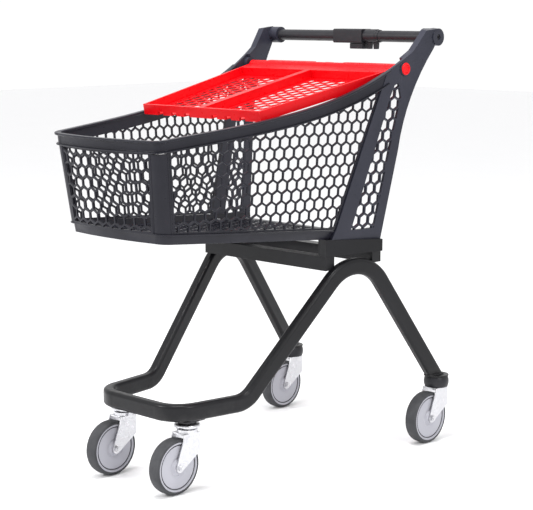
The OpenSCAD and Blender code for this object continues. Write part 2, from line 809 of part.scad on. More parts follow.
module floor_bolts() {
    color(zinc) for (side = [-1, 1]) bolt_places(side) {
        translate([0, 0, floor_t]) cylinder(r = 7, h = 4.5);
        translate([0, 0, -rail_wall - 8]) cylinder(r = bolt_r, h = floor_t + rail_wall + 8 + eps);
        translate([0, 0, -rail_wall - 7]) cylinder(r = 7, h = 6, $fn = 6);
    }
}

// ---------- handle and lock ----------
module handle_tube() {
    color(black) difference() {
        cross_rod(handle_back, handle_rise, handle_r, -handle_half, handle_half);
        cross_rod(handle_back, handle_rise, handle_r - handle_wall, -handle_half - 1, handle_half + 1);
    }
}

module handle_plugs() {
    color(zinc) for (side = [-1, 1]) on_side(side) difference() {
        cross_rod(handle_back, handle_rise, handle_r - handle_wall, handle_half - plug_len, handle_half);
        cross_rod(handle_back, handle_rise, screw_r, handle_half - plug_len - 1, handle_half + 1);
    }
}

module handle_screws() {
    seat = handle_x + boss_out - screw_recess;
    color(black) for (side = [-1, 1]) on_side(side) difference() {
        union() {
            cross_rod(handle_back, handle_rise, screw_head_r, seat, seat + 5);
            cross_rod(handle_back, handle_rise, screw_r, handle_half - plug_len + 4, seat + 1);
        }
        basket_axes() translate([seat + 2, handle_back, handle_rise]) rotate([0, 90, 0])
            cylinder(r = 3, h = 6, $fn = 6);
    }
}

module handle_clamp() {
    color(black) difference() {
        basket_axes() translate([clamp_x[0], handle_back, handle_rise]) rotate([90, 0, 90])
            linear_extrude(clamp_x[1] - clamp_x[0]) rounded_rect(clamp_d, clamp_h, 4);
        cross_rod(handle_back, handle_rise, handle_r, clamp_x[0] - 1, clamp_x[1] + 1);
    }
}

module handle_collar() {
    r = handle_r + 3;
    color(black) difference() {
        union() {
            cross_rod(handle_back, handle_rise, r, clamp_x[1] + gap, clamp_x[1] + collar_len - 8);
            cross_rod(handle_back, handle_rise, r - 1.5, clamp_x[1] + collar_len - 8 - eps, clamp_x[1] + collar_len);
        }
        cross_rod(handle_back, handle_rise, handle_r, clamp_x[1] - 1, clamp_x[1] + collar_len + 1);
    }
}

module lock_body() {
    color(black) basket_axes() difference() {
        translate([lock_x[0], handle_back, slot_z]) rotate([90, 0, 90])
            linear_extrude(lock_x[1] - lock_x[0]) rounded_rect(lock_d, lock_h, 3);
        translate([slot_x - drawer_w / 2 - gap, handle_back + lock_d / 2 - drawer_len - 1, slot_z - drawer_h / 2 - gap])
            cube([drawer_w + 2 * gap, drawer_len + 2, drawer_h + 2 * gap]);
    }
}

module coin_drawer() {
    color(red) basket_axes()
        translate([slot_x - drawer_w / 2, handle_back + lock_d / 2 - drawer_len, slot_z - drawer_h / 2]) difference() {
            cube([drawer_w, drawer_len, drawer_h]);
            translate([drawer_w / 2, drawer_len / 2, drawer_h / 2]) cylinder(r = drawer_len / 2 - 2.5, h = drawer_h);
        }
}

module lock_key() {
    color(black) basket_axes() difference() {
        translate([clamp_x[1] + gap, handle_back, handle_rise]) rotate([90, 0, 0]) linear_extrude(10, center = true)
            for (x = [3, 23]) polygon([[x, 0], [x + 16, 0], [x + 13, key_low], [x + 4, key_low]]);
        translate([clamp_x[1], handle_back, handle_rise]) rotate([0, 90, 0]) cylinder(r = handle_r + 3, h = collar_len);
    }
}

// ---------- flap ----------
// Axes on the hinge line, turned with the raised flap: -Y runs to its free edge, Z out of its upper face
module flap_axes() {
    basket_axes() translate([0, hinge_back, hinge_rise]) rotate([flap_fall, 0, 0]) children();
}

function flap_half(y) = flap_side_x + y * flap_taper;

function flap_plan(y0, y1, inset) = [
    [-flap_half(y0) + inset, y0], [flap_half(y0) - inset, y0],
    [flap_half(y1) - inset, y1], [-flap_half(y1) + inset, y1]];

// The flap's lower skin, with its mesh
module flap_panel() {
    color(red) flap_axes() difference() {
        translate([0, 0, flap_low]) linear_extrude(flap_skin) difference() {
            polygon(flap_plan(-flap_len, 0, 0));
            flap_mesh();
        }
        flap_notches();
    }
}

// The ribs, top band and hinge barrel that stand on the skin
module flap_frame() {
    rib_foot = flap_low + flap_skin;
    rib_h = flap_depth - flap_skin;
    top = flap_low + flap_depth;
    color(red) flap_axes() difference() {
        union() {
            for (side = [-1, 1]) translate([0, 0, rib_foot]) linear_extrude(rib_h)
                polygon([for (p = [[-flap_len, 0], [0, 0], [0, flap_rib], [-flap_len, flap_rib]])
                    [side * (flap_half(p[0]) - p[1]), p[0]]]);
            translate([-flap_mid_rib / 2, -flap_len, rib_foot])
                cube([flap_mid_rib, flap_len - flap_top_band + flap_rib, rib_h]);
            translate([0, 0, rib_foot]) linear_extrude(rib_h) {
                polygon(flap_plan(-flap_len, -flap_len + flap_rib, 0));
                polygon(flap_plan(-flap_top_band, -flap_top_band + flap_rib, 0));
            }
            translate([0, 0, top - flap_skin]) linear_extrude(flap_skin)
                polygon(flap_plan(-flap_top_band, lobe_foot, 0));
            flap_lobes(top);
            rotate([0, 90, 0]) cylinder(r = flap_hub_r, h = 2 * flap_side_x, center = true);
        }
        rotate([0, 90, 0]) cylinder(r = hinge_r + run_fit, h = 2 * flap_side_x + 2, center = true);
        flap_notches();
    }
}

module flap_mesh() {
    for (side = [-1, 1]) intersection() {
        polygon([for (p = [[-flap_len + flap_end_band, 12], [-flap_top_band - 10, 12]])
            [side * (flap_half(p[0]) - p[1]), p[0]],
            [side * (flap_mid_rib / 2 + 8), -flap_top_band - 10],
            [side * (flap_mid_rib / 2 + 8), -flap_len + flap_end_band]]);
        rotate(90) cells(-flap_len, 0, -flap_side_x, flap_side_x);
    }
}

// Two wide lobes and a tongue beyond the hinge
module flap_lobes(top) {
    inner = 37;
    round = 12;
    translate([0, 0, top - flap_skin]) linear_extrude(flap_skin) {
        for (side = [-1, 1]) {
            polygon([for (p = [[inner, lobe_foot], [inner + 4, lobe_len - round], [inner + 4 + round, lobe_len],
                [flap_side_x - 38, lobe_len], [flap_side_x - 26, lobe_len - round], [flap_side_x - 20, lobe_foot]])
                [side * p[0], p[1]]]);
            for (x = [inner + 4 + round, flap_side_x - 38])
                translate([side * x, lobe_len - round]) circle(round);
        }
        polygon([[-16, lobe_foot], [16, lobe_foot], [13, lobe_len - 4], [-13, lobe_len - 4]]);
    }
}

// Notches in the underside of the free edge
module flap_notches() {
    for (side = [-1, 1], x = [44, 88, 132])
        translate([side * x, -flap_len - 1, flap_low - 1]) linear_extrude(9)
            polygon([[-9, 0], [9, 0], [6, 12], [-6, 12]]);
}

module hinge_pins() {
    seat = hinge_x + hinge_pad_out - cap_t + 1;
    color(red) for (side = [-1, 1]) on_side(side) {
        cross_rod(hinge_back, hinge_rise, hinge_r, flap_side_x - pin_reach, seat + 1);
        difference() {
            cross_rod(hinge_back, hinge_rise, cap_r, seat, seat + cap_t);
            cross_rod(hinge_back, hinge_rise, cap_r - 5, seat + cap_t - 1, seat + cap_t + 1);
        }
    }
}

// ---------- the assembly ----------
place() chassis_front_loop();
place() chassis_side(-1);  // chassis_side_left
place() chassis_side(1);  // chassis_side_right
place() chassis_beam(base_y - rail_len, arch_top - 22);  // chassis_beam_front
place() chassis_beam(base_y - beam_d, arch_top - 16);  // chassis_beam_rear
place() basket_rail(-1);  // basket_rail_left
place() basket_rail(1);  // basket_rail_right
place() rear_feet();
place() front_plates();
place() swivel_races();
place() kingpins();
place() rear_collars();
place() basket_floor();
place() basket_skirt();
place() basket_front();
place() basket_posts();
place() basket_side(-1);  // basket_side_left
place() basket_side(1);  // basket_side_right
place() rim_front();
place() rim_side(-1);  // rim_left
place() rim_side(1);  // rim_right
place() arm(-1);  // arm_left
place() arm(1);  // arm_right
place() floor_bolts();
place() handle_tube();
place() handle_plugs();
place() handle_screws();
place() handle_clamp();
place() handle_collar();
place() lock_body();
place() coin_drawer();
place() lock_key();
place() flap_panel();
place() flap_frame();
place() hinge_pins();
place() fork(0, -1);  // fork_front_left
place() fork(0, 1);  // fork_front_right
place() fork(1, -1);  // fork_rear_left
place() fork(1, 1);  // fork_rear_right
place() balls(0, -1);  // balls_front_left
place() balls(0, 1);  // balls_front_right
place() balls(1, -1);  // balls_rear_left
place() balls(1, 1);  // balls_rear_right
place() axle_bolt(0, -1);  // axle_bolt_front_left
place() axle_bolt(0, 1);  // axle_bolt_front_right
place() axle_bolt(1, -1);  // axle_bolt_rear_left
place() axle_bolt(1, 1);  // axle_bolt_rear_right
place() axle_bush(0, -1);  // axle_bush_front_left
place() axle_bush(0, 1);  // axle_bush_front_right
place() axle_bush(1, -1);  // axle_bush_rear_left
place() axle_bush(1, 1);  // axle_bush_rear_right
place() wheel(0, -1);  // wheel_front_left
place() wheel(0, 1);  // wheel_front_right
place() wheel(1, -1);  // wheel_rear_left
place() wheel(1, 1);  // wheel_rear_right
place() tyre(0, -1);  // tyre_front_left
place() tyre(0, 1);  // tyre_front_right
place() tyre(1, -1);  // tyre_rear_left
place() tyre(1, 1);  // tyre_rear_right
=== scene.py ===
import json
import math

import bmesh
import bpy
import numpy as np
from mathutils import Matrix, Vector

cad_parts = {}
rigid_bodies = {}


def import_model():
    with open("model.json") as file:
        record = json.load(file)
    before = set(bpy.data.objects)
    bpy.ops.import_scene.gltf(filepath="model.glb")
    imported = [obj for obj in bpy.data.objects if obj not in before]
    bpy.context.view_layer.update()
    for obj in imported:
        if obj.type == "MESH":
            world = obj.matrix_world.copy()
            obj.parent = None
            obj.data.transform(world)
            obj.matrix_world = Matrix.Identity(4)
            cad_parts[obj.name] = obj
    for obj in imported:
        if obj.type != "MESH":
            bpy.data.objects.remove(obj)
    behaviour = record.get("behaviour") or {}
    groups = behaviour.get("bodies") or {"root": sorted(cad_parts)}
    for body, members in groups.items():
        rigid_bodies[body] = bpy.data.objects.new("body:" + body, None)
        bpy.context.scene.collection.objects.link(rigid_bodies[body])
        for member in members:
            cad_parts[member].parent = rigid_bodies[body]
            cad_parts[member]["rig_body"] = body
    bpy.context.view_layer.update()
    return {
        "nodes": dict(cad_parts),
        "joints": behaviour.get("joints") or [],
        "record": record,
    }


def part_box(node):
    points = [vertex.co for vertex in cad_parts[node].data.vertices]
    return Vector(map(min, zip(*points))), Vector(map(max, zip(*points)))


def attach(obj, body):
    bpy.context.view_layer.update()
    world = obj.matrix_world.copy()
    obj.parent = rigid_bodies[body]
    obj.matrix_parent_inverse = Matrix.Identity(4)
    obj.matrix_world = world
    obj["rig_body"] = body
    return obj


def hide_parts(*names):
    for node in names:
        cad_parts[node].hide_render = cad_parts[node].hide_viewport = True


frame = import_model()

MM = 0.001
CORNERS = ("front_left", "front_right", "rear_left", "rear_right")
SIDES = (("left", -1), ("right", 1))
JOINTS = {joint["name"]: joint for joint in frame["joints"]}

# Sizes of the basket, measured from the rear end of its floor
HINGE = np.array(JOINTS["flap_hinge"]["pos_m"])
HINGE_BACK = 35 * MM
HINGE_RISE = 393 * MM
BASE = HINGE - (0, HINGE_BACK, HINGE_RISE)
FLOOR_LENGTH = 627 * MM
FLOOR_SLOPE = math.radians(4.1)
HALF_REAR = 215 * MM
HALF_FRONT = 170 * MM
FRONT_DEPTH = 218 * MM
SIDE_DRAFT = math.radians(5.1)
FRONT_LEAN = math.radians(7)
FRONT_BULGE = 18 * MM
CORNER_RADIUS = 28 * MM
WALL = 4 * MM
HANDLE_BACK = 135 * MM
HANDLE_RISE = 464 * MM
RIM_BAND = 24 * MM
RIM_BAND_GROWTH = 8 * MM
RIM_LAP = 3 * MM
SKIRT_HEIGHT = 22 * MM
RIM_EVEN_RISE = 70 * MM
RIM_OVERHANG = 28 * MM
RIM_BELOW_HANDLE = 28 * MM
RIM_SHORT_OF_HANDLE = 74 * MM
RIM_END_DROP = 78 * MM
RIM_INTO_ARM = 6 * MM
UPRIGHT_Y = -140 * MM
UPRIGHT_FOOT = 38 * MM
UPRIGHT_LEAN = 0.346
RIM_FRONT = FLOOR_LENGTH * math.tan(FLOOR_SLOPE) + FRONT_DEPTH
RIM_CURL = HANDLE_RISE - RIM_FRONT - RIM_EVEN_RISE - RIM_BELOW_HANDLE
RIM_Y = -FLOOR_LENGTH - RIM_OVERHANG
RIM_RUN = HANDLE_BACK - RIM_Y - RIM_SHORT_OF_HANDLE
FLARE = (HALF_REAR + math.tan(SIDE_DRAFT) * RIM_FRONT - HALF_FRONT) / -RIM_Y
SIDE_YAW = math.atan(FLARE)

# How the meshes are finished
MERGE_NEW = 2e-6
MERGE_NODE = 2e-5
CREASE = math.radians(38)
EASED_CREASE = math.radians(33)
FLAT = math.radians(1)


# ---------------------------------------------------------------- meshes

def link_piece(name, mesh, material, body, replaced=()):
    """Puts a mesh in the scene as a piece of a body, with its material."""
    piece = bpy.data.objects.new(name, mesh)
    bpy.context.scene.collection.objects.link(piece)
    mesh.materials.clear()
    mesh.materials.append(material)
    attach(piece, body)
    if replaced:
        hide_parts(*replaced)
    return piece


def grid_mesh(name, points, wrap_rows=False, caps=False):
    """Mesh over a grid of points shaped (rows, columns, 3): each cell of the grid is one quad.
    The columns close on themselves, wrapped rows do too, and caps fill the first and last rows."""
    rows, columns = points.shape[:2]
    index = np.arange(rows * columns).reshape(rows, columns)
    down = np.roll(index, -1, 0) if wrap_rows else index[1:]
    here = index if wrap_rows else index[:-1]
    right, down_right = np.roll(here, -1, 1), np.roll(down, -1, 1)
    quads = np.stack([here, right, down_right, down], -1).reshape(-1, 4).tolist()
    if caps:
        quads += [index[0, ::-1].tolist(), index[-1].tolist()]
    mesh = bpy.data.meshes.new(name)
    mesh.from_pydata(points.reshape(-1, 3).tolist(), [], quads)
    face_outwards(mesh)
    return mesh


def face_outwards(mesh):
    """Merges doubled points, turns every face outwards and shades the mesh smooth except at creases."""
    work = bmesh.new()
    work.from_mesh(mesh)
    bmesh.ops.remove_doubles(work, verts=work.verts, dist=MERGE_NEW)
    bmesh.ops.recalc_face_normals(work, faces=work.faces)
    work.to_mesh(mesh)
    work.free()
    mesh.shade_smooth()
    mesh.set_sharp_from_angle(angle=CREASE)


def rounded_loop(corners, radius, steps=4):
    """Closed outline with each corner replaced by a quadratic curve that starts and ends
    one radius from the corner, or at most 0.45 of the shorter neighbouring edge."""
    corners = np.array(corners, float)
    before, after = np.roll(corners, 1, 0) - corners, np.roll(corners, -1, 0) - corners
    length_before = np.linalg.norm(before, axis=1)[:, None]
    length_after = np.linalg.norm(after, axis=1)[:, None]
    reach = np.minimum(radius, 0.45 * np.minimum(length_before, length_after))
    start, end = corners + before / length_before * reach, corners + after / length_after * reach
    t = np.linspace(0, 1, steps + 1)[None, :, None]
    curve = start[:, None] * (1 - t) ** 2 + corners[:, None] * 2 * t * (1 - t) + end[:, None] * t ** 2
    return curve.reshape(-1, corners.shape[1])


def full_turn(steps):
    """Angles of one whole turn, in even steps."""
    return np.linspace(0, 2 * math.pi, steps, endpoint=False)


def revolve(name, profile, centre, axis, steps=96):
    """Surface of revolution: each profile point (along, radius) runs round the axis through
    the centre, at along on the axis and radius times the cosine and sine of the turn across it."""
    profile = np.asarray(profile, float)
    turn = full_turn(steps)[:, None]
    along = np.broadcast_to(profile[None, :, 0], (steps, len(profile)))
    side, up = profile[None, :, 1] * np.cos(turn), profile[None, :, 1] * np.sin(turn)
    order = {"x": (along, side, up), "z": (side, up, along)}[axis]
    return grid_mesh(name, np.stack(order, -1) + np.asarray(centre, float), wrap_rows=True)


def tube_along(name, path, radius, sides=10):
    """Round bead on a closed path: a circle of the given radius, one value per station, set
    across the path's direction, which is the difference of the neighbouring stations."""
    ahead = np.roll(path, -1, 0) - np.roll(path, 1, 0)
    ahead /= np.linalg.norm(ahead, axis=1)[:, None]
    outward = np.cross(ahead, (0.0, 0.0, 1.0))
    outward /= np.linalg.norm(outward, axis=1)[:, None]
    upward = np.cross(outward, ahead)
    turn = full_turn(sides)[None, :, None]
    across = outward[:, None] * np.cos(turn) + upward[:, None] * np.sin(turn)
    return grid_mesh(name, path[:, None] + radius[:, None, None] * across, wrap_rows=True)


def eased_copy(node, width, material):
    """Copy of a moulded or pressed node, its triangles merged into whole faces and its
    edges eased by a small radius, as a mould or a press leaves them."""
    source = frame["nodes"][node]
    mesh = source.data.copy()
    work = bmesh.new()
    work.from_mesh(mesh)
    bmesh.ops.remove_doubles(work, verts=work.verts, dist=MERGE_NODE)
    bmesh.ops.dissolve_limit(work, angle_limit=FLAT, verts=work.verts, edges=work.edges)
    work.to_mesh(mesh)
    work.free()
    piece = link_piece(node + "_eased", mesh, material, source["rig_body"], (node,))
    ease = piece.modifiers.new("eased_edges", "BEVEL")
    ease.width = width
    ease.segments = 2
    ease.limit_method = "ANGLE"
    ease.angle_limit = EASED_CREASE
    ease.harden_normals = True
    mesh.shade_smooth()
    mesh.set_sharp_from_angle(angle=EASED_CREASE)
    return piece


# ---------------------------------------------------------------- materials

class Finish:
    """A material under construction: one principled shader and the nodes that feed it."""

    def __init__(self, name, colour, roughness, metallic=0.0, coat=0.0, specular=0.5):
        self.material = bpy.data.materials.new(name)
        self.material.use_nodes = True
        self.nodes = self.material.node_tree.nodes
        self.links = self.material.node_tree.links
        self.shader = self.nodes["Principled BSDF"]
        self.shader.inputs["Base Color"].default_value = (*colour, 1)
        self.shader.inputs["Roughness"].default_value = roughness
        self.shader.inputs["Metallic"].default_value = metallic
        self.shader.inputs["Coat Weight"].default_value = coat
        self.shader.inputs["Coat Roughness"].default_value = 0.18
        self.shader.inputs["Specular IOR Level"].default_value = specular
        self.place = self.nodes.new("ShaderNodeTexCoord").outputs["Object"]
        self.height = None

    def noise(self, scale, detail=4.0, roughness=0.55, stretch=(1, 1, 1)):
        """Drifts of noise in the piece's own coordinates, stretched along its axes."""
        mapping = self.nodes.new("ShaderNodeMapping")
        mapping.inputs["Scale"].default_value = stretch
        self.links.new(self.place, mapping.inputs["Vector"])
        noise = self.nodes.new("ShaderNodeTexNoise")
        noise.inputs["Scale"].default_value = scale
        noise.inputs["Detail"].default_value = detail
        noise.inputs["Roughness"].default_value = roughness
        self.links.new(mapping.outputs["Vector"], noise.inputs["Vector"])
        return noise.outputs["Fac"]

    def cells(self, scale):
        """Random cells, each with its own colour."""
        cells = self.nodes.new("ShaderNodeTexVoronoi")
        cells.feature = "F1"
        cells.inputs["Scale"].default_value = scale
        self.links.new(self.place, cells.inputs["Vector"])
        return cells

    def span(self, value, low, high, to_low, to_high):
        """Value between low and high, laid over to_low and to_high."""
        node = self.nodes.new("ShaderNodeMapRange")
        self.links.new(value, node.inputs["Value"])
        numbers = {"From Min": low, "From Max": high, "To Min": to_low, "To Max": to_high}
        for socket, number in numbers.items():
            node.inputs[socket].default_value = number
        return node.outputs["Result"]

    def product(self, first, second):
        """One value times another."""
        node = self.nodes.new("ShaderNodeMath")
        node.operation = "MULTIPLY"
        self.links.new(first, node.inputs[0])
        self.links.new(second, node.inputs[1])
        return node.outputs[0]

    def height_above(self, low, high):
        """1 at and below the low height, falling to 0 at the high one."""
        split = self.nodes.new("ShaderNodeSeparateXYZ")
        self.links.new(self.place, split.inputs["Vector"])
        return self.span(split.outputs["Z"], low, high, 1.0, 0.0)

    def tint(self, amount, colour):
        """Mixes a colour over what the base colour already is, by an amount from the nodes."""
        mix = self.nodes.new("ShaderNodeMix")
        mix.data_type = "RGBA"
        base = self.shader.inputs["Base Color"]
        if base.is_linked:
            self.links.new(base.links[0].from_socket, mix.inputs["A"])
        else:
            mix.inputs["A"].default_value = base.default_value
        mix.inputs["B"].default_value = (*colour, 1)
        self.links.new(amount, mix.inputs["Factor"])
        self.links.new(mix.outputs["Result"], base)

    def roughness(self, value):
        """Drives the roughness by a value from the nodes."""
        self.links.new(value, self.shader.inputs["Roughness"])

    def bump(self, value, depth, strength=1.0):
        """Raises the surface by the value times a depth in metres, on top of earlier bumps."""
        bump = self.nodes.new("ShaderNodeBump")
        bump.inputs["Strength"].default_value = strength
        bump.inputs["Distance"].default_value = depth
        self.links.new(value, bump.inputs["Height"])
        if self.height:
            self.links.new(self.height, bump.inputs["Normal"])
        self.height = bump.outputs["Normal"]
        self.links.new(self.height, self.shader.inputs["Normal"])


def moulded_plastic(name, colour, lighter, roughness, grain=0.00006, dust=0.0):
    """Moulded plastic: a fine spark-eroded grain, slow drifts of tone, and faint flow marks."""
    finish = Finish(name, colour, roughness, specular=0.22)
    drift = finish.noise(7.0, detail=3.0)
    finish.tint(finish.span(drift, 0.35, 0.7, 0.0, 0.45), lighter)
    scuff = finish.noise(60.0, detail=8.0, roughness=0.7, stretch=(1, 0.35, 1))
    finish.tint(finish.span(scuff, 0.62, 0.75, 0.0, 0.22), lighter)
    if dust:
        settled = finish.product(finish.noise(25.0, detail=5.0), finish.height_above(0.45, 0.62))
        finish.tint(finish.span(settled, 0.3, 0.8, 0.0, dust), (0.12, 0.115, 0.11))
    worn = finish.noise(90.0, detail=6.0)
    finish.roughness(finish.span(worn, 0.3, 0.7, roughness - 0.07, roughness + 0.08))
    finish.bump(finish.noise(1500.0, detail=2.0), grain, 0.55)
    finish.bump(finish.noise(18.0, detail=2.0), 0.0006, 0.25)
    return finish.material


def powder_coat():
    """Powder coat on tube: orange-peel skin, slight gloss, with dull rub marks and dust low down."""
    finish = Finish("chassis_powder_coat", (0.004, 0.004, 0.005), 0.30, coat=0.05, specular=0.22)
    finish.tint(finish.span(finish.noise(5.0, detail=3.0), 0.35, 0.7, 0.0, 0.5), (0.009, 0.009, 0.012))
    rubbed = finish.noise(42.0, detail=9.0, roughness=0.72)
    finish.tint(finish.span(rubbed, 0.64, 0.72, 0.0, 0.3), (0.035, 0.036, 0.040))
    dusty = finish.product(finish.noise(30.0, detail=6.0), finish.height_above(0.15, 0.26))
    finish.tint(finish.span(dusty, 0.35, 0.8, 0.0, 0.2), (0.12, 0.115, 0.11))
    finish.roughness(finish.span(finish.noise(70.0, detail=7.0), 0.3, 0.72, 0.29, 0.47))
    finish.bump(finish.noise(420.0, detail=2.0), 0.00012, 0.5)
    return finish.material


def zinc_plate():
    """Bright zinc: metal with a fine spangle, a faint rolled grain and duller patches."""
    finish = Finish("bright_zinc", (0.60, 0.60, 0.62), 0.30, metallic=1.0)
    spangle = finish.cells(260.0).outputs["Color"]
    tone = finish.nodes.new("ShaderNodeRGBToBW")
    finish.links.new(spangle, tone.inputs["Color"])
    finish.tint(finish.span(tone.outputs["Val"], 0.2, 0.9, 0.0, 0.25), (0.44, 0.45, 0.48))
    finish.tint(finish.span(finish.noise(45.0, detail=7.0), 0.58, 0.75, 0.0, 0.4), (0.33, 0.33, 0.35))
    finish.roughness(finish.span(finish.noise(120.0, detail=6.0), 0.3, 0.7, 0.22, 0.42))
    finish.bump(finish.noise(350.0, detail=3.0, stretch=(1, 1, 0.15)), 0.00005, 0.4)
    return finish.material


def tyre_rubber():
    """Grey non-marking rubber: open matte grain, dust in drifts and darker scuffs."""
    finish = Finish("grey_tyre_rubber", (0.045, 0.046, 0.050), 0.62, specular=0.2)
    finish.tint(finish.span(finish.noise(35.0, detail=7.0), 0.4, 0.75, 0.0, 0.5), (0.080, 0.081, 0.086))
    scuff = finish.noise(110.0, detail=8.0, roughness=0.7)
    finish.tint(finish.span(scuff, 0.6, 0.72, 0.0, 0.5), (0.030, 0.030, 0.032))
    finish.roughness(finish.span(finish.noise(80.0, detail=6.0), 0.3, 0.7, 0.52, 0.74))
    finish.bump(finish.noise(900.0, detail=3.0), 0.00012, 0.6)
    return finish.material


def satin_black():
    """Black satin moulding of the handle and its lock, with faint finger wear."""
    finish = Finish("satin_black_moulding", (0.012, 0.012, 0.015), 0.32, specular=0.3)
    worn = finish.noise(38.0, detail=8.0, roughness=0.65)
    finish.tint(finish.span(worn, 0.56, 0.74, 0.0, 0.5), (0.026, 0.026, 0.030))
    finish.roughness(finish.span(finish.noise(55.0, detail=6.0), 0.3, 0.7, 0.30, 0.48))
    finish.bump(finish.noise(1100.0, detail=2.0), 0.00005, 0.5)
    return finish.material


basket_plastic = moulded_plastic("basket_anthracite", (0.009, 0.009, 0.014), (0.022, 0.022, 0.031), 0.34,
                                 dust=0.08)
arm_plastic = moulded_plastic("arm_anthracite", (0.019, 0.020, 0.030), (0.036, 0.037, 0.052), 0.34)
red_plastic = moulded_plastic("signal_red", (0.62, 0.001, 0.004), (0.75, 0.003, 0.009), 0.32, grain=0.00003)
disc_plastic = moulded_plastic("wheel_disc_grey", (0.36, 0.36, 0.40), (0.43, 0.43, 0.47), 0.42)
chassis_paint = powder_coat()
zinc = zinc_plate()
rubber = tyre_rubber()
black_plastic = satin_black()

FINISHES = {
    "chassis_paint": chassis_paint, "basket_plastic": basket_plastic, "arm_plastic": arm_plastic,
    "red_plastic": red_plastic, "black_plastic": black_plastic, "zinc": zinc,
    "wheel_disc": disc_plastic, "tyre_tread": rubber,
}
SLOTS = {part["node"]: part["material_slot"] for part in frame["record"]["subparts"]}

for node, part in frame["nodes"].items():
    part.data.materials.clear()
    part.data.materials.append(FINISHES[SLOTS[node]])


# ---------------------------------------------------------------- moulded and pressed nodes

EASED = {
    "basket_floor": 0.7, "basket_skirt": 1.2, "basket_front": 0.8, "basket_posts": 0.2,
    "basket_side_left": 0.8, "basket_side_right": 0.8, "arm_left": 1.5, "arm_right": 1.5,
    "flap_panel": 0.7, "flap_frame": 1.1, "hinge_pins": 0.7, "handle_clamp": 1.5, "handle_collar": 1.0,
    "lock_body": 1.2, "lock_key": 1.0, "coin_drawer": 0.6, "handle_screws": 0.5,
    "chassis_beam_front": 1.0, "chassis_beam_rear": 1.0, "basket_rail_left": 1.0, "basket_rail_right": 1.0,
    "rear_feet": 1.0, "front_plates": 1.0, "floor_bolts": 0.6, "kingpins": 0.8,
}
EASED.update({prefix + corner: 0.6 for prefix in ("fork_", "axle_bolt_") for corner in CORNERS})

for node, width in EASED.items():
    eased_copy(node, width * MM, FINISHES[SLOTS[node]])


SKIRT_DRAWN_IN = 4.5 * MM
SKIRT_FRONT_SHARE = 0.6


def slant_skirt():
    """Slants the skirt's wall: its lower edge moves in by the drawn-in length, and the points
    above it by less, in proportion to their height over the floor's plane. Round the front, the
    move across is a share of that, in proportion to the distance from the middle."""
    front = -FLOOR_LENGTH + CORNER_RADIUS
    for vert in bpy.data.objects["basket_skirt_eased"].data.vertices:
        x, y, z = np.array(vert.co) - BASE
        height = (z + y * math.tan(FLOOR_SLOPE)) / SKIRT_HEIGHT
        inward = SKIRT_DRAWN_IN * np.clip(1 - height, 0, 1)
        if y > front:
            vert.co.x -= math.copysign(inward, x)
        else:
            vert.co.x -= SKIRT_FRONT_SHARE * inward * x / HALF_FRONT
        if y < front:
            vert.co.y += inward


slant_skirt()


PLUG_GAP = 0.4 * MM


def tube_fill(node):
    """Fills an open tube's ends: the convex hull of the tube, drawn in by the gap on each side
    about its middle, so only its two ends are seen, inside the tube's mouth."""
    source = frame["nodes"][node]
    work = bmesh.new()
    work.from_mesh(source.data)
    hull = bmesh.ops.convex_hull(work, input=work.verts)
    loose = [item for item in hull["geom_interior"] + hull["geom_unused"]
             if isinstance(item, bmesh.types.BMVert)]
    bmesh.ops.delete(work, geom=loose, context="VERTS")
    kept = {face for face in hull["geom"] if isinstance(face, bmesh.types.BMFace)}
    bmesh.ops.delete(work, geom=[face for face in work.faces if face not in kept], context="FACES")
    points = np.array([list(vert.co) for vert in work.verts])
    low, high = points.min(0), points.max(0)
    middle = (low + high) / 2
    for vert, point in zip(work.verts, points):
        vert.co = middle + (point - middle) * (1 - 2 * PLUG_GAP / (high - low))
    bmesh.ops.dissolve_limit(work, angle_limit=FLAT, verts=work.verts, edges=work.edges)
    mesh = bpy.data.meshes.new(node + "_plugs")
    work.to_mesh(mesh)
    work.free()
    return link_piece(node + "_plugs", mesh, chassis_paint, "frame", ())


for node in ("chassis_beam_front", "chassis_beam_rear", "basket_rail_left", "basket_rail_right"):
    tube_fill(node)


CAP_RING_RADIUS = 12 * MM
CAP_RING_HALF_WIDTH = 1.8 * MM
CAP_RING_RISE = 1.7 * MM


def hinge_cap_ring(side, sign):
    """Raised ring round the face of a hinge cap: a round bead on a circle."""
    low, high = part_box("hinge_pins")
    face = high.x if sign > 0 else low.x
    turn, bead = full_turn(64)[:, None], full_turn(10)[None]
    reach = CAP_RING_RADIUS + CAP_RING_HALF_WIDTH * np.cos(bead)
    along = np.broadcast_to(face + sign * CAP_RING_RISE * np.sin(bead), (turn.size, bead.size))
    points = np.stack([along, HINGE[1] + reach * np.cos(turn), HINGE[2] + reach * np.sin(turn)], -1)
    name = "hinge_cap_ring_" + side
    mesh = grid_mesh(name, points, wrap_rows=True)
    return link_piece(name, mesh, red_plastic, "frame", ())


for side, sign in SIDES:
    hinge_cap_ring(side, sign)


# ---------------------------------------------------------------- rim of the basket

def rim_height(y):
    """Top of the rim above the floor's rear end: an even rise plus a fourth-power curl to the
    handle."""
    t = np.clip((y - RIM_Y) / RIM_RUN, 0, None)
    return RIM_FRONT + RIM_EVEN_RISE * t + RIM_CURL * t ** 4


def wall_x(y, z):
    """Outer face of the side wall: a plane that flares to the rear and leans outwards."""
    return HALF_REAR + y * FLARE + z * math.tan(SIDE_DRAFT)


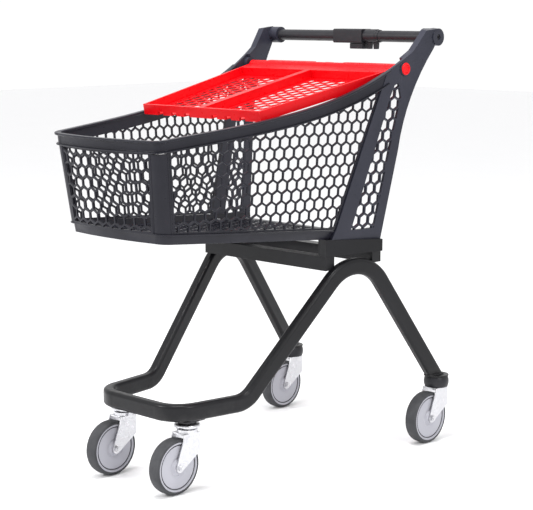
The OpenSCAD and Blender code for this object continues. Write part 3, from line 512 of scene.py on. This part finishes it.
def half_rim_path(side_steps=56, corner_steps=14, front_steps=28):
    """Right half of the rim's line, from the arm to the middle of the front: the side wall's
    top edge, a quarter circle, then a parabola across the front. Also gives each station's
    outward direction, lean and place along the side."""
    front_drop = RIM_FRONT - RIM_BAND - FLOOR_LENGTH * math.tan(FLOOR_SLOPE)
    front_y = -FLOOR_LENGTH - math.tan(FRONT_LEAN) * (front_drop - SKIRT_HEIGHT)
    corner_y = front_y + CORNER_RADIUS
    end_height = HANDLE_RISE - RIM_END_DROP
    start_y = UPRIGHT_Y + UPRIGHT_LEAN * (end_height - UPRIGHT_FOOT) + RIM_INTO_ARM
    y = np.linspace(start_y, corner_y, side_steps)
    side = np.stack([wall_x(y, rim_height(y)), y], -1)
    side_out = np.tile([math.cos(SIDE_YAW), -math.sin(SIDE_YAW)], (side_steps, 1))
    turn = np.linspace(-SIDE_YAW, -math.pi / 2, corner_steps + 1)[1:]
    corner_out = np.stack([np.cos(turn), np.sin(turn)], -1)
    corner_x = side[-1, 0] - CORNER_RADIUS
    corner = np.array([corner_x, corner_y]) + CORNER_RADIUS * corner_out
    x = np.linspace(corner_x, 0, front_steps + 1)[1:]
    front = np.stack([x, front_y - FRONT_BULGE * (1 - (x / corner_x) ** 2)], -1)
    slope = 2 * FRONT_BULGE * x / corner_x ** 2
    front_out = np.stack([slope, -np.ones_like(x)], -1)
    front_out /= np.linalg.norm(front_out, axis=1)[:, None]
    plan = np.concatenate([side, corner, front])
    out = np.concatenate([side_out, corner_out, front_out])
    lean = np.concatenate([
        np.full(side_steps, SIDE_DRAFT), np.linspace(SIDE_DRAFT, FRONT_LEAN, corner_steps),
        np.full(front_steps, FRONT_LEAN)])
    height = rim_height(np.maximum(plan[:, 1], corner_y))
    fall = np.clip((corner_y - plan[:, 1]) / CORNER_RADIUS, 0, 1)
    height = height * (1 - fall) + RIM_FRONT * fall
    along = np.clip((plan[:, 1] - RIM_Y) / RIM_RUN, 0, 1)
    return plan, out, lean, height, along


def whole_rim():
    """The rim in one moulding: its half line mirrored, with a section of a rolled lip, a
    recessed band and a lower flange; the band deepens with the square of the way to the handle."""
    plan, out, lean, height, along = half_rim_path()
    flip = np.array([-1, 1])
    plan = np.concatenate([plan, plan[-2::-1] * flip])
    out = np.concatenate([out, out[-2::-1] * flip])
    lean, height, along = (np.concatenate([v, v[-2::-1]]) for v in (lean, height, along))
    lip, flange, bend, rounding = 5 * MM, 3 * MM, 1 * MM, 1.6 * MM
    lip_out, band_out, flange_out, lip_in = 8 * MM, 2 * MM, 7 * MM, WALL + 2 * MM
    band = RIM_BAND + RIM_LAP + RIM_BAND_GROWTH * along ** 2
    path = np.column_stack([plan, height]) + BASE
    outward = np.column_stack([out, np.zeros(len(out))])
    upward = outward * np.tan(lean)[:, None] + (0, 0, 1)
    deep = band.max()
    section = rounded_loop([
        (-WALL, -deep), (-WALL, -lip - 1.5 * bend), (-lip_in, -lip), (-lip_in, 0), (lip_out, 0),
        (lip_out, -lip), (band_out, -lip - bend), (band_out, flange + bend - deep),
        (flange_out, flange - deep), (flange_out, -deep)], rounding)
    stations = np.repeat(section[None], len(path), 0)
    lower = section[:, 1] < -deep / 2
    stations[:, lower, 1] += (deep - band)[:, None]
    points = (path[:, None] + outward[:, None] * stations[..., 0, None]
              + upward[:, None] * stations[..., 1, None])
    mesh = grid_mesh("basket_rim", points, caps=True)
    replaced = ("rim_front", "rim_left", "rim_right")
    return link_piece("basket_rim", mesh, basket_plastic, "frame", replaced)


whole_rim()


BEAD_RADIUS = 2.4 * MM
BEAD_SUNK = 0.6 * MM
BEAD_LAP = 1 * MM


def corner_bead(name, sign, turn):
    """Raised bead down one edge of a corner post: a straight round bar at the post's radius
    and the given turn about its axis, from the skirt to the rim."""
    low_z = FLOOR_LENGTH * math.tan(FLOOR_SLOPE) + SKIRT_HEIGHT
    high_z = RIM_FRONT - RIM_BAND
    high_y = -FLOOR_LENGTH - math.tan(FRONT_LEAN) * (high_z - low_z)
    reach = CORNER_RADIUS - BEAD_SUNK
    ends = []
    for y, z in ((CORNER_RADIUS - FLOOR_LENGTH, low_z - BEAD_LAP), (CORNER_RADIUS + high_y, high_z)):
        x = wall_x(y, z) - CORNER_RADIUS + reach * math.cos(turn)
        ends.append(np.array([sign * x, y + reach * math.sin(turn), z]) + BASE)
    path = np.linspace(ends[0], ends[1], 8)
    ahead = (ends[1] - ends[0]) / np.linalg.norm(ends[1] - ends[0])
    across = np.cross(ahead, (0, 1, 0))
    across /= np.linalg.norm(across)
    over = np.cross(across, ahead)
    round_turn = full_turn(12)[None, :, None]
    points = path[:, None] + BEAD_RADIUS * (across * np.cos(round_turn) + over * np.sin(round_turn))
    mesh = grid_mesh(name, points, caps=True)
    return link_piece(name, mesh, basket_plastic, "frame", ())


for side, sign in SIDES:
    for edge, turn in (("side", -SIDE_YAW), ("front", -math.pi / 2)):
        corner_bead("corner_bead_%s_%s" % (side, edge), sign, turn)


# ---------------------------------------------------------------- wheels, tyres and collars

TREAD_SHARE = 0.66
TREAD_CURVE = 2.5 * MM
TREAD_FALL = 1.1 * MM
SHOULDER_DROP = 5.2 * MM
DISC_INSET = 1 * MM
DISC_BELOW_TREAD = 7.4 * MM
WEB_DEPTH = 3 * MM
SEAT_DEPTH = 2 * MM
SEAT_RADIUS = 9 * MM
BOLT_BORE = 6.1 * MM
HUB_RADIUS = 14 * MM
DISH_RADIUS = 19 * MM
CROWN_RADIUS = 24 * MM
CROWN = 1.6 * MM
RAISED_RING = 4 * MM
GROOVE = 5 * MM
CHAMFER = 1 * MM
DISC_ROUNDING = 0.9 * MM
# Painted shade: a dark band laid in each disc's groove, standing for the groove's shadow
GROOVE_SHADE_SET = 5.6 * MM
GROOVE_SHADE_WIDTH = 1.6 * MM
GROOVE_SHADE_RISE = 1.5 * MM
GROOVE_SHADE_ROUNDING = 0.4 * MM


def wheel_centre(corner):
    """Middle of a wheel, on its axle."""
    return np.array(JOINTS["wheel_spin_" + corner]["pos_m"])


def tyre_size(corner):
    """Radius and half width of a tyre."""
    low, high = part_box("tyre_" + corner)
    return (high.z - low.z) / 2, (high.x - low.x) / 2


def tyre(corner):
    """Tyre: a crowned tread that falls off with the square of the distance from the middle,
    round shoulders, a shallow moulding line on each side and a bead on the disc."""
    radius, half = tyre_size(corner)
    across = np.linspace(-TREAD_SHARE, TREAD_SHARE, 15)
    tread = np.stack([across * half, radius - TREAD_CURVE * across ** 2], -1)
    turn = np.linspace(0.12, 1, 7) * math.pi / 2
    shoulder = np.stack([half * (TREAD_SHARE + (1 - TREAD_SHARE) * np.sin(turn)),
                         radius - TREAD_FALL + SHOULDER_DROP * (np.cos(turn) - 1)], -1)
    moulding_line = np.array([(0, 6.4), (0.5, 6.7), (1.0, 7.6), (3, 8)]) * MM
    side = np.concatenate([shoulder, (half, radius) - moulding_line])
    profile = np.concatenate([side[::-1] * (-1, 1), tread, side])
    name = "tyre_round_" + corner
    mesh = revolve(name, profile, wheel_centre(corner), "x", steps=128)
    return link_piece(name, mesh, rubber, "roller_" + corner, ("tyre_" + corner,))


def wheel_disc(corner, face, sign):
    """One face of a wheel disc: a raised rim ring, a fine groove, a dished web and a hub with
    a bearing seat, the same on both faces."""
    radius, half = tyre_size(corner)
    low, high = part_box("wheel_" + corner)
    hub = (high.x - low.x) / 2
    flat = half - DISC_INSET
    ring, web = radius - DISC_BELOW_TREAD, flat - WEB_DEPTH
    profile = rounded_loop([
        (flat, ring), (flat, ring - RAISED_RING), (web, ring - RAISED_RING - CHAMFER),
        (web + 0.75 * CROWN, ring - RAISED_RING - GROOVE), (web + CROWN, CROWN_RADIUS),
        (web, DISH_RADIUS), (hub - CHAMFER, HUB_RADIUS + CHAMFER), (hub, HUB_RADIUS),
        (hub, SEAT_RADIUS), (hub - SEAT_DEPTH, SEAT_RADIUS - CHAMFER / 2),
        (hub - SEAT_DEPTH, BOLT_BORE), (0, BOLT_BORE), (0, ring)], DISC_ROUNDING, 3)
    name = "wheel_disc_%s_%s" % (corner, face)
    mesh = revolve(name, profile * (sign, 1), wheel_centre(corner), "x")
    replaced = ("wheel_" + corner,) if face == "outer" else ()
    return link_piece(name, mesh, disc_plastic, "roller_" + corner, replaced)


def disc_groove_shade(corner, face, sign):
    """Painted shade in the disc's groove: a thin dark band with rounded edges, revolved, standing for the
    groove's shadow.
    """
    radius, half = tyre_size(corner)
    web, ring = half - DISC_INSET - WEB_DEPTH, radius - DISC_BELOW_TREAD
    high = ring - GROOVE_SHADE_SET
    low = high - GROOVE_SHADE_WIDTH
    sunk, proud = web - CHAMFER, web + GROOVE_SHADE_RISE
    profile = rounded_loop([(sunk, low), (proud, low), (proud, high), (sunk, high)],
                           GROOVE_SHADE_ROUNDING, 2)
    name = "wheel_groove_shade_%s_%s" % (corner, face)
    mesh = revolve(name, profile * (sign, 1), wheel_centre(corner), "x")
    return link_piece(name, mesh, black_plastic, "roller_" + corner, ())


for corner in CORNERS:
    tyre(corner)
    for face, sign in (("outer", 1), ("inner", -1)):
        wheel_disc(corner, face, sign)
    # Painted shade: a dark band in the groove of each disc face
    for face, sign in (("inner", -1), ("outer", 1)):
        disc_groove_shade(corner, face, sign)


COLLAR_RADIUS = 27.6 * MM
COLLAR_BULGE = 3.2 * MM
COLLAR_MOUTH = 21 * MM
COLLAR_LIP = 5 * MM
COLLAR_INSIDE = 26 * MM
COLLAR_WIDENING = 0.4 * MM


def rear_collar(side):
    """Rear collar: a thin turned shell whose outline bulges in the middle as a half sine wave
    to the power 0.8."""
    low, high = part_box("rear_collars")
    pivot = np.array(JOINTS["swivel_turn_rear_" + side]["pos_m"])
    tall = high.z - low.z
    rise = np.linspace(0, 1, 22)
    swell = COLLAR_RADIUS + COLLAR_BULGE * np.sin(math.pi * rise) ** 0.8
    outer = np.stack([rise * tall, swell], -1)
    lip = np.array([
        [tall, COLLAR_MOUTH], [tall - COLLAR_LIP, COLLAR_MOUTH], [tall - COLLAR_LIP, COLLAR_INSIDE],
        [0, COLLAR_INSIDE + COLLAR_WIDENING]])
    name = "rear_collar_" + side
    profile = np.concatenate([outer, lip])
    mesh = revolve(name, profile, (pivot[0], pivot[1], low.z), "z", steps=72)
    replaced = ("rear_collars",) if side == "left" else ()
    return link_piece(name, mesh, black_plastic, "frame", replaced)


for side in ("left", "right"):
    rear_collar(side)


# ---------------------------------------------------------------- welds

LEG_HALF_WIDTH = 12.5 * MM
LEG_HALF_DEPTH = 23.5 * MM
LEG_ROUNDING = 10 * MM
WELD_YAW = math.radians(8.9)
WELD_INWARD = 1.8 * MM
WELD_FORWARD = 8 * MM
WELD_OVER_FOOT = 0.6 * MM
WELD_RADIUS = 2.6 * MM
WELD_RIPPLE = 0.35 * MM
WELD_RIPPLE_LENGTH = 1.5 * MM


def foot_weld(side, sign):
    """Weld round the foot of a rear leg: a bead on a rounded rectangle, whose radius ripples
    as a sine wave along it, as a laid bead does."""
    pivot = np.array(JOINTS["swivel_turn_rear_" + side]["pos_m"])
    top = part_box("rear_feet")[1].z
    wide, deep = LEG_HALF_WIDTH, LEG_HALF_DEPTH
    ring = rounded_loop([(-wide, -deep), (wide, -deep), (wide, deep), (-wide, deep)], LEG_ROUNDING, 8)
    closed = np.concatenate([ring, ring[:1]])
    steps = np.concatenate([[0], np.cumsum(np.linalg.norm(np.diff(closed, axis=0), axis=1))])
    place = np.linspace(0, steps[-1], 150, endpoint=False)
    x, y = (np.interp(place, steps, closed[:, k]) for k in (0, 1))
    yaw = -sign * WELD_YAW
    path = np.stack([x * math.cos(yaw) - y * math.sin(yaw) + pivot[0] - sign * WELD_INWARD,
                     x * math.sin(yaw) + y * math.cos(yaw) + pivot[1] - WELD_FORWARD,
                     np.full(len(place), top + WELD_OVER_FOOT)], -1)
    radius = WELD_RADIUS + WELD_RIPPLE * np.sin(place / WELD_RIPPLE_LENGTH)
    name = "foot_weld_" + side
    return link_piece(name, tube_along(name, path, radius), chassis_paint, "frame", ())


for side, sign in SIDES:
    foot_weld(side, sign)


# ---------------------------------------------------------------- stage, light and camera

FLOOR_HALF = 14.0
LIT_POINT = (0, 0, 0.6)
LIGHTS = (("overhead", (0.2, -0.6, 3.0), 0.8, 85), ("key", (-1.4, -3.0, 2.4), 0.6, 55),
          ("side", (3.2, -0.4, 2.2), 0.7, 35))


def studio():
    """Pale floor, three soft lights and a pale surround."""
    mesh = bpy.data.meshes.new("studio_floor")
    corners = [(x * FLOOR_HALF, y * FLOOR_HALF, 0) for x, y in ((-1, -1), (1, -1), (1, 1), (-1, 1))]
    mesh.from_pydata(corners, [], [(0, 1, 2, 3)])
    floor = bpy.data.objects.new("studio_floor", mesh)
    bpy.context.scene.collection.objects.link(floor)
    paint = Finish("studio_floor_paint", (0.93, 0.93, 0.94), 0.6)
    paint.tint(paint.span(paint.noise(3.0), 0.3, 0.7, 0.0, 0.2), (0.90, 0.90, 0.91))
    mesh.materials.append(paint.material)
    world = bpy.data.worlds.new("studio_surround")
    bpy.context.scene.world = world
    world.use_nodes = True
    surround = world.node_tree.nodes["Background"]
    surround.inputs["Color"].default_value = (1.0, 1.0, 1.0, 1)
    surround.inputs["Strength"].default_value = 1.02
    for name, place, size, power in LIGHTS:
        soft_light(name, place, size, power)
    bpy.context.scene.view_settings.view_transform = "Standard"


def soft_light(name, place, size, power):
    """Square area light of a size and power, turned towards the lit point."""
    light = bpy.data.lights.new(name, "AREA")
    light.size = size
    light.energy = power
    lamp = bpy.data.objects.new(name, light)
    lamp.location = place
    lamp.rotation_euler = (Vector(LIT_POINT) - Vector(place)).to_track_quat("-Z", "Y").to_euler()
    bpy.context.scene.collection.objects.link(lamp)


def camera():
    """Three-quarter view of the front and right side from a little above the rim."""
    azimuth, elevation, distance = math.radians(44.09), math.radians(9.09), 3.27
    target = Vector((0.2505, -0.1879, 0.5275))
    away = Vector((math.sin(azimuth) * math.cos(elevation), -math.cos(azimuth) * math.cos(elevation),
                   math.sin(elevation)))
    lens = bpy.data.cameras.new("view")
    lens.sensor_width = 36
    lens.lens = 103.86
    eye = bpy.data.objects.new("view", lens)
    eye.location = target + away * distance
    eye.rotation_euler = (-away).to_track_quat("-Z", "Y").to_euler()
    bpy.context.scene.collection.objects.link(eye)
    bpy.context.scene.camera = eye


studio()
camera()
